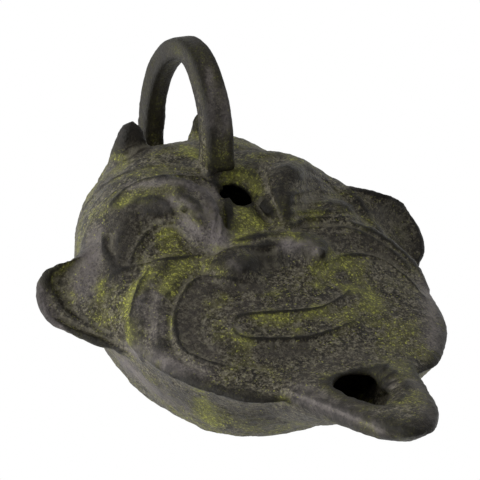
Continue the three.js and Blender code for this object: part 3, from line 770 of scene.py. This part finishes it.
# Everything that is united, each with the radius of the hollow corner where it joins the rest.
def united():
    left_brow = bar(LEFT_BROW, LEFT_BROW_HALF, OVAL, level=(0, 0, 1))
    right_brow = bar(RIGHT_BROW, RIGHT_BROW_HALF, OVAL, level=(0, 0, 1))
    cheek = bar(CHEEK_LINE, CHEEK_HALF, OVAL, level=(0, 0, 1))
    horn = bar(HORN_LINE, HORN_HALF, HORN_SQUARENESS)
    parts = [(bowl(480, 150), 0), (nozzle(), 1.6)]
    parts += [(rolled(right_brow), 2.6), (rolled(mirrored(left_brow)), 2.6)]
    for surface, fillet in ((cheek, 2), (ball(*EYE), 2), (ball(*NOSTRIL), 2.4)):
        parts.append((rolled(surface), fillet))
        parts.append((rolled(mirrored(surface)), fillet))
    parts.append((bar(NOSE_LINE, NOSE_HALF, OVAL, level=(0, 0, 1)), 1.2))
    parts.append((bar([(0, y, z) for y, z in LOOP_LINE], LOOP_HALF, LOOP_SQUARENESS), 1.6))
    parts += [(horn, 1.6), (mirrored(horn), 1.6), (ear(1), 2.6), (ear(-1), 2.6)]
    return parts


# Everything that is cut out, each with the rounding of its edge.
def cut_out():
    return [
        (bowl(240, 80, SIDE_WALL, ROOF_WALL, FLOOR_WALL), 0.6),
        (bar(CHANNEL_LINE, CHANNEL_HALF, CHANNEL_SQUARENESS), 0.6),
        (mouth_hole(WICK_EDGE, WICK_RIM, WICK_LEVELS), 0.35),
        (well(FILL_CENTRE, FILL_RADII, FILL_STRETCH), 0.8),
    ]


# The camera of the photograph.
AZIMUTH = math.radians(28)
ELEVATION = math.radians(21.5)
DISTANCE = 700
TARGET = (0, -5, 25)
PICTURE_PIXELS = 480
FOCAL_PIXELS = 3110.8
# How far right of the target and above it the camera aims, in pixels.
AIM_RIGHT = -13.93
AIM_ABOVE = 60.82
SENSOR_WIDTH = 36
ahead = np.array([math.sin(AZIMUTH) * math.cos(ELEVATION), math.cos(AZIMUTH) * math.cos(ELEVATION),
                  -math.sin(ELEVATION)])
right = np.array([math.cos(AZIMUTH), -math.sin(AZIMUTH), 0])
above = np.cross(right, ahead)
place = np.array(TARGET) - DISTANCE * ahead
aim = ahead + AIM_RIGHT / FOCAL_PIXELS * right + AIM_ABOVE / FOCAL_PIXELS * above
camera_data = bpy.data.cameras.new("camera")
camera_data.sensor_width = SENSOR_WIDTH
camera_data.lens = FOCAL_PIXELS / PICTURE_PIXELS * SENSOR_WIDTH
camera = bpy.data.objects.new("camera", camera_data)
bpy.context.scene.collection.objects.link(camera)
camera.location = Vector(place * METRES)
camera.rotation_euler = Vector(aim).to_track_quat("-Z", "Y").to_euler()
bpy.context.scene.camera = camera

# Fields: distance to a surface at every point of one grid, below zero inside.
GRID_LOW = np.floor(LOW_CORNER / VOXEL).astype(int)
GRID_SHAPE = tuple(np.ceil((HIGH_CORNER - LOW_CORNER) / VOXEL).astype(int))
GRID_TRANSFORM = openvdb.createLinearTransform(voxelSize=VOXEL)


def field(surface):
    points, faces = surface
    grid = openvdb.FloatGrid.createLevelSetFromPolygons(
        points.astype(np.float32), triangles=faces.astype(np.uint32),
        transform=GRID_TRANSFORM, halfWidth=BAND)
    values = np.zeros(GRID_SHAPE, np.float32)
    grid.copyToArray(values, ijk=tuple(int(v) for v in GRID_LOW))
    return values


# Two bodies joined with a rounded inner corner, and one cut from the other with a rounded edge.
def join(a, b, fillet):
    share = np.clip(0.5 + 0.5 * (b - a) / fillet, 0, 1)
    return b + (a - b) * share - fillet * share * (1 - share)


def cut(a, b, rounding):
    return -join(-a, b, rounding)


shape = None
for surface, fillet in united():
    shape = field(surface) if shape is None else join(shape, field(surface), fillet)
for surface, rounding in cut_out():
    shape = cut(shape, field(surface), rounding)

grid = openvdb.FloatGrid(BAND * VOXEL)
grid.copyFromArray(shape, ijk=tuple(int(v) for v in GRID_LOW))
grid.transform = GRID_TRANSFORM
points, quads = grid.convertToQuads(0.0)
points = points.astype(float)
quads = quads[:, ::-1].astype(np.int32)


# The outward direction at every point of a mesh of quads.
def outward_normals(points, quads):
    across = points[quads[:, 2]] - points[quads[:, 0]]
    along = points[quads[:, 3]] - points[quads[:, 1]]
    faces = np.cross(across, along)
    normals = np.zeros_like(points)
    for corner in range(4):
        for axis in range(3):
            normals[:, axis] += np.bincount(quads[:, corner], faces[:, axis], len(points))
    return normals / np.linalg.norm(normals, axis=1, keepdims=True)


# Where the lines of sight through pixels of the photograph meet the casting.
def seen(tree, pixels):
    turn = Vector(aim).to_track_quat("-Z", "Y")
    half = PICTURE_PIXELS / 2
    places = []
    facing = []
    for across, down in pixels:
        ray = turn @ Vector(((across - half) / FOCAL_PIXELS, (half - down) / FOCAL_PIXELS, -1))
        hit, normal, _, _ = tree.ray_cast(Vector(place), ray.normalized())
        if hit is not None:
            places.append(tuple(hit))
            facing.append(tuple(normal))
    return np.array(places), np.array(facing)


# How strongly a stroke acts on each of the points that it can reach.
def stroke_strength(points, normals, tree, stroke):
    pixels, widths, heights, power = (*stroke, ROUND)[:4]
    fine = round_line(pixels, STROKE_POINTS * len(pixels)) if len(pixels) > 1 else pixels
    line, facing = seen(tree, fine)
    if not len(line):
        return np.zeros(len(points), bool), np.zeros(0)
    limit = STROKE_REACH * np.max(widths)
    close = np.all((points > line.min(0) - limit) & (points < line.max(0) + limit), axis=1)
    near = points[close]
    nearest = np.full(len(near), FAR)
    share = np.zeros(len(near))
    steps = max(len(line) - 1, 1)
    for i in range(steps):
        step = line[min(i + 1, len(line) - 1)] - line[i]
        size = step @ step
        if size > STROKE_GAP ** 2:
            continue
        t = np.clip((near - line[i]) @ step / size, 0, 1) if size > 0 else np.zeros(len(near))
        distance = np.linalg.norm(near - line[i] - t[:, None] * step, axis=1)
        better = distance < nearest
        nearest[better] = distance[better]
        share[better] = (i + t[better]) / steps
    front = facing[np.round(share * (len(line) - 1)).astype(int)]
    same_side = smooth(2 * np.einsum("ij,ij->i", normals[close], front))
    fall = np.exp(-((nearest / spread(widths, share)) ** power))
    return close, spread(heights, share) * fall * same_side


# The points moved along their normals by every stroke.
def sculpted(points, quads, strokes):
    normals = outward_normals(points, quads)
    tree = BVHTree.FromPolygons(points.tolist(), quads.tolist())
    moved = points.copy()
    for stroke in strokes:
        close, amount = stroke_strength(points, normals, tree, stroke)
        moved[close] += normals[close] * amount[:, None]
    return moved


# How much of each kind of patina and painted light every point has, from strokes and from the shape itself.
def patina_and_painted_light_masks(points, quads):
    normals = outward_normals(points, quads)
    tree = BVHTree.FromPolygons(points.tolist(), quads.tolist())
    kinds = {}
    for kind, strokes in PATINA_AND_PAINTED_LIGHT.items():
        total = np.zeros(len(points))
        for stroke in strokes:
            close, amount = stroke_strength(points, normals, tree, stroke)
            total[close] = np.maximum(total[close], amount)
        kinds[kind] = total
    for kind, rounds in HOLLOWNESS.items():
        kinds[kind] = hollowness(points, quads, normals, rounds)
    return kinds


# How far each point lies under the smoothed surface, in millimetres: below zero on ridges.
def hollowness(points, quads, normals, rounds):
    count = len(points)
    heads = np.concatenate([quads[:, k] for k in range(4)])
    tails = np.concatenate([quads[:, (k + 1) % 4] for k in range(4)])
    shares = np.bincount(heads, minlength=count) + np.bincount(tails, minlength=count)
    soft = points.copy()
    for _ in range(rounds):
        for axis in range(3):
            value = soft[:, axis]
            total = np.bincount(heads, value[tails], count) + np.bincount(tails, value[heads], count)
            soft[:, axis] = total / shares
    return np.einsum("ij,ij->i", soft - points, normals)


# Soft unevenness, the same in every run.
def uneven(points):
    chance = np.random.default_rng(CASTING_SEED)
    total = np.zeros(len(points))
    for length, height in WAVES:
        for _ in range(WAVES_EACH):
            direction = chance.normal(size=3)
            direction /= np.linalg.norm(direction)
            turn = points @ direction * (2 * np.pi / (length * chance.uniform(0.75, 1.3)))
            total += height * math.sqrt(2 / WAVES_EACH) * np.sin(turn + chance.uniform(0, 2 * np.pi))
    return total


points = sculpted(points, quads, MASSES)
points = sculpted(points, quads, CREASES)
calm = 1 - LOOP_CALM * smooth((points[:, 2:] - CALM_FROM) / CALM_OVER)
points += outward_normals(points, quads) * uneven(points)[:, None] * calm

mesh = bpy.data.meshes.new("lamp_casting")
mesh.vertices.add(len(points))
mesh.vertices.foreach_set("co", (points * METRES).ravel())
mesh.loops.add(4 * len(quads))
mesh.loops.foreach_set("vertex_index", quads.ravel())
mesh.polygons.add(len(quads))
mesh.polygons.foreach_set("loop_start", np.arange(0, 4 * len(quads), 4, dtype=np.int32))
mesh.update(calc_edges=True)
for kind, values in patina_and_painted_light_masks(points, quads).items():
    mesh.attributes.new(kind, "FLOAT", "POINT").data.foreach_set("value", values.astype(np.float32))
lamp = bpy.data.objects.new("lamp_casting", mesh)
bpy.context.scene.collection.objects.link(lamp)
thin = lamp.modifiers.new("thin", "DECIMATE")
thin.ratio = min(TRIANGLES / (2 * len(quads)), 1)
thin.use_collapse_triangulate = True
settled = bpy.data.meshes.new_from_object(lamp.evaluated_get(bpy.context.evaluated_depsgraph_get()))
lamp.modifiers.clear()
lamp.data = settled
settled.polygons.foreach_set("use_smooth", np.ones(len(settled.polygons), bool))

# Old bronze: dark brown metal with light grains, yellow-green corrosion in patches and hollows, lighter
# worn ridges with painted highlight, and painted shade in hollows and on faces turned from the light.
# Colours are linear.
DARK_BROWN = (0.014, 0.0115, 0.0085)
MID_BROWN = (0.074, 0.0635, 0.041)
LIGHT_GREY = (0.205, 0.189, 0.143)
PURPLE_GREY = (0.195, 0.172, 0.168)
YELLOW_GREEN = (0.38, 0.39, 0.07)
OLIVE = (0.086, 0.082, 0.022)
GREEN_WASH = (0.19, 0.195, 0.045)
PLAIN_BROWN = (0.056, 0.048, 0.041)
NEAR_BLACK = (0.006, 0.0055, 0.004)
GLOSS = 0.22
ROUGHEST = 0.72
SMOOTHEST = 0.5
PIT_DEPTH = 0.4

material = bpy.data.materials.new("bronze_patina_with_painted_light")
material.use_nodes = True
tree = material.node_tree
shader = tree.nodes["Principled BSDF"]
place_node = tree.nodes.new("ShaderNodeTexCoord")


# A node's input is given a value, a colour or another node's output.
def put(value, socket):
    if isinstance(value, bpy.types.NodeSocket):
        tree.links.new(value, socket)
    elif isinstance(value, tuple) and len(value) == 3 and socket.type == "RGBA":
        socket.default_value = (*value, 1)
    else:
        socket.default_value = value


# A cloud texture whose spots are about as large as given, in millimetres, and its own by its shift.
def cloud(size, detail, roughness, shift=0.0):
    mapping = tree.nodes.new("ShaderNodeMapping")
    mapping.inputs["Location"].default_value = (shift, shift * 0.7, shift * 0.4)
    tree.links.new(place_node.outputs["Object"], mapping.inputs["Vector"])
    noise = tree.nodes.new("ShaderNodeTexNoise")
    noise.inputs["Scale"].default_value = 1 / (size * METRES)
    noise.inputs["Detail"].default_value = detail
    noise.inputs["Roughness"].default_value = roughness
    tree.links.new(mapping.outputs["Vector"], noise.inputs["Vector"])
    return noise.outputs["Fac"]


def calculate(operation, *values):
    node = tree.nodes.new("ShaderNodeMath")
    node.operation = operation
    for value, socket in zip(values, node.inputs):
        put(value, socket)
    return node.outputs["Value"]


def times(first, second):
    return calculate("MULTIPLY", first, second)


# The sum of values, each times its share.
def weighted(*parts):
    total = None
    for value, share in parts:
        part = times(value, share)
        total = part if total is None else calculate("ADD", total, part)
    return total


# A value moved from one range to another, with soft ends.
def ramp(value, low, high, start=0.0, end=1.0):
    node = tree.nodes.new("ShaderNodeMapRange")
    node.interpolation_type = "SMOOTHSTEP"
    put(value, node.inputs["Value"])
    put(low, node.inputs["From Min"])
    put(high, node.inputs["From Max"])
    put(start, node.inputs["To Min"])
    put(end, node.inputs["To Max"])
    return node.outputs["Result"]


def blend(share, first, second):
    node = tree.nodes.new("ShaderNodeMix")
    node.data_type = "RGBA"
    put(share, node.inputs["Factor"])
    put(first, node.inputs["A"])
    put(second, node.inputs["B"])
    return node.outputs["Result"]


def measure(name):
    node = tree.nodes.new("ShaderNodeAttribute")
    node.attribute_name = name
    return node.outputs["Fac"]


fine_spots = cloud(0.6, 3, 0.65)
spots = cloud(2.0, 4, 0.6, 3)
patches = cloud(6.0, 4, 0.55, 7)
wide_patches = cloud(16.0, 3, 0.5, 11)
grain = cloud(0.42, 2, 0.6, 17)
pits = cloud(0.9, 3, 0.6, 23)
flecks = cloud(0.8, 4, 0.7, 29)
green, grey, plain, dark = (measure(kind) for kind in PATINA_AND_PAINTED_LIGHT)
fine_hollow, broad_hollow = (measure(kind) for kind in HOLLOWNESS)

tone = weighted((fine_spots, 0.45), (spots, 0.25), (patches, 0.15), (grain, 0.25))
tone = calculate("SUBTRACT", tone, 0.05)
smooth_brown = times(plain, ramp(spots, 0.35, 0.6, 0.75, 0.4))
# corroded zones, denser where the strokes are and in hollows, and sparser on clean metal and on the painted
# highlights
corroded = ((patches, 0.6), (wide_patches, 0.4), (green, 0.16), (ramp(broad_hollow, 0, 0.5), 0.04))
clean_and_highlit = ((plain, -0.14), (grey, -0.1))
zone = ramp(weighted(*corroded, *clean_and_highlit), 0.46, 0.62)
# smooth brown metal, worn metal and painted highlights, where fewer flecks grow
worn_and_highlit = calculate("MAXIMUM", plain, grey)
bloom = weighted((flecks, 0.6), (grain, 0.4), (zone, 0.055), (green, 0.03), (worn_and_highlit, -0.03))
dark = times(dark, ramp(spots, 0.3, 0.6, 1, 0.75))

# The layers of colour over the dark brown metal: how much of each, and its colour.
LAYERS = [
    # brown metal, with dark pits and light grains
    (ramp(tone, 0.43, 0.54), MID_BROWN),
    (ramp(tone, 0.5, 0.6, 0, 0.85), LIGHT_GREY),
    (ramp(pits, 0.46, 0.36, 0, 0.85), NEAR_BLACK),
    (ramp(pits, 0.56, 0.65, 0, 0.65), LIGHT_GREY),
    # worn purple-grey metal with painted highlights, and smooth brown metal
    (times(grey, ramp(tone, 0.36, 0.52, 0.4, 0.95)), PURPLE_GREY),
    (smooth_brown, PLAIN_BROWN),
    # corroded zones: olive, with yellow-green flecks
    (times(zone, 0.6), OLIVE),
    (times(times(green, zone), ramp(tone, 0.36, 0.6, 0.2, 0.7)), GREEN_WASH),
    (ramp(bloom, 0.565, 0.69, 0, 0.95), YELLOW_GREEN),
    # dark brown metal with painted shade from the dark strokes, painted shade in broad hollows, and painted
    # highlight on broad ridges
    (times(dark, 0.9), DARK_BROWN),
    (times(ramp(broad_hollow, 0.05, 0.6, 0, 0.8), ramp(grey, 0.3, 1, 1, 0.3)), DARK_BROWN),
    (ramp(broad_hollow, -0.1, -0.8, 0, 0.1), LIGHT_GREY),
    # fine hollows are darkened with dirt and painted shade, and fine ridges lightened with wear and painted
    # highlight
    (ramp(fine_hollow, 0.02, 0.16, 0, 0.55), NEAR_BLACK),
    (ramp(fine_hollow, -0.02, -0.14, 0, 0.3), LIGHT_GREY),
]
colour = DARK_BROWN
for share, over in LAYERS:
    colour = blend(share, colour, over)
put(colour, shader.inputs["Base Color"])
put(ramp(tone, 0.4, 0.65, SMOOTHEST, ROUGHEST), shader.inputs["Roughness"])
shader.inputs["Metallic"].default_value = 0.0
shader.inputs["Specular IOR Level"].default_value = GLOSS

# pits and grain of the surface
surface = weighted((fine_spots, 0.5), (grain, 0.5))
bump = tree.nodes.new("ShaderNodeBump")
bump.inputs["Strength"].default_value = 1.0
bump.inputs["Distance"].default_value = PIT_DEPTH * METRES
put(surface, bump.inputs["Height"])
tree.links.new(bump.outputs["Normal"], shader.inputs["Normal"])

lamp.data.materials.clear()
lamp.data.materials.append(material)

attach(lamp, "root")
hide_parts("lamp")

# Soft light of the white surroundings: a little from everywhere, and more from these directions.
AMBIENT = 0.1
SURROUNDINGS = {
    "left": ((-0.88, 0.47, 0), 1.35),
    "front left": ((-0.93, -0.25, 0.26), 0.3),
    "right behind": ((0.93, 0.25, -0.26), 1.1),
    "above": ((0, 0, 1), 0.15),
    "below": ((0, 0, -1), 0.1),
}
WHITE = (1, 1, 1)

# A white background for the camera, and the soft light for everything else.
world = bpy.data.worlds.new("world")
world.use_nodes = True
tree = world.node_tree
backdrop = tree.nodes["Background"]
put(WHITE, backdrop.inputs["Color"])
put(1, backdrop.inputs["Strength"])
surround = tree.nodes.new("ShaderNodeBackground")
put(WHITE, surround.inputs["Color"])
direction = tree.nodes.new("ShaderNodeTexCoord")
total = AMBIENT
for towards, strength in SURROUNDINGS.values():
    facing = tree.nodes.new("ShaderNodeVectorMath")
    facing.operation = "DOT_PRODUCT"
    put(direction.outputs["Generated"], facing.inputs[0])
    put(Vector(towards).normalized(), facing.inputs[1])
    total = calculate("MULTIPLY_ADD", calculate("MAXIMUM", facing.outputs["Value"], 0), strength, total)
put(total, surround.inputs["Strength"])
rays = tree.nodes.new("ShaderNodeLightPath")
either = tree.nodes.new("ShaderNodeMixShader")
put(rays.outputs["Is Camera Ray"], either.inputs["Fac"])
put(surround.outputs["Background"], either.inputs[1])
put(backdrop.outputs["Background"], either.inputs[2])
put(either.outputs["Shader"], tree.nodes["World Output"].inputs["Surface"])
bpy.context.scene.world = world
bpy.context.scene.view_settings.view_transform = "Standard"

# One broad lamp in front of the left cheek, in metres and watts.
KEY_PLACE = Vector((-0.6, -0.1, 0.16))
KEY_AIM = Vector((0, -0.01, 0.03))
KEY_SIZE = 0.3
KEY_POWER = 1.4
key_data = bpy.data.lights.new("key", "AREA")
key_data.size = KEY_SIZE
key_data.energy = KEY_POWER
key = bpy.data.objects.new("key", key_data)
key.location = KEY_PLACE
key.rotation_euler = (KEY_AIM - KEY_PLACE).to_track_quat("-Z", "Y").to_euler()
bpy.context.scene.collection.objects.link(key)
